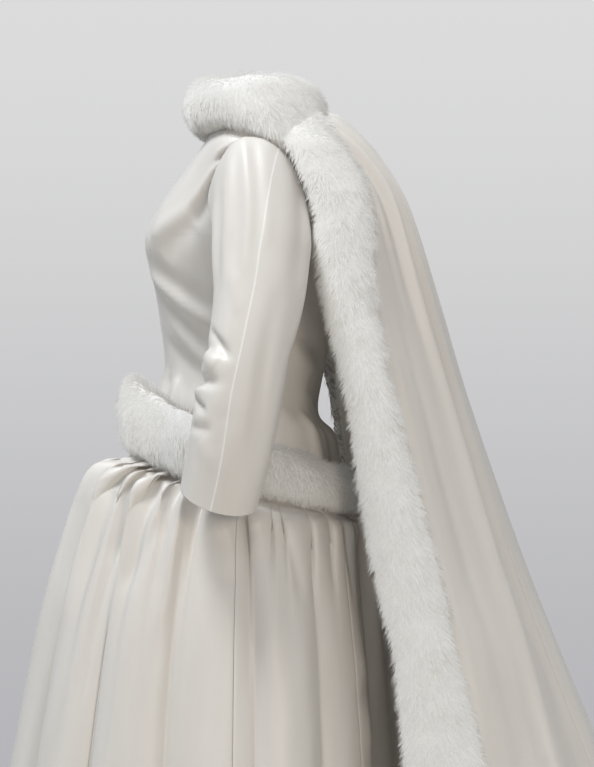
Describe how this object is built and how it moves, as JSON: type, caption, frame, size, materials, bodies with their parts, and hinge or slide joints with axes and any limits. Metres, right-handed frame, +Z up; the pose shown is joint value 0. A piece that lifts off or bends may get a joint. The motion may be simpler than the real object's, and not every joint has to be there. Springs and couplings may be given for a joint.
{
  "type": "wedding dress",
  "caption": "Long-sleeved satin wedding dress with a gathered bell skirt, fur stand collar, fur band round the hips and a long open-fronted train edged with fur.",
  "frame": {"origin": "middle of the shoulder line, where the wearer carries the dress", "axes": "+Z up, the front of the dress faces -Y and the wearer's left is +X"},
  "size_m": [1.2686, 1.9367, 1.4862],
  "materials": {
    "satin": "heavy ivory satin, soft sheen",
    "fur": "dense short white pile"
  },
  "bodies": {
    "root": {"bodice_front_l": "satin", "bodice_front_r": "satin", "bodice_back_l": "satin", "bodice_back_r": "satin", "sleeve_front_l": "satin", "sleeve_front_r": "satin", "sleeve_back_l": "satin", "sleeve_back_r": "satin", "skirt_front": "satin", "skirt_side_front_l": "satin", "skirt_side_back_l": "satin", "skirt_back_l": "satin", "skirt_back_r": "satin", "skirt_side_back_r": "satin", "skirt_side_front_r": "satin", "train_left": "satin", "train_middle": "satin", "train_right": "satin", "collar": "fur", "hip_band": "fur", "train_fur_l": "fur", "train_fur_r": "fur"}
  },
  "joints": []
}
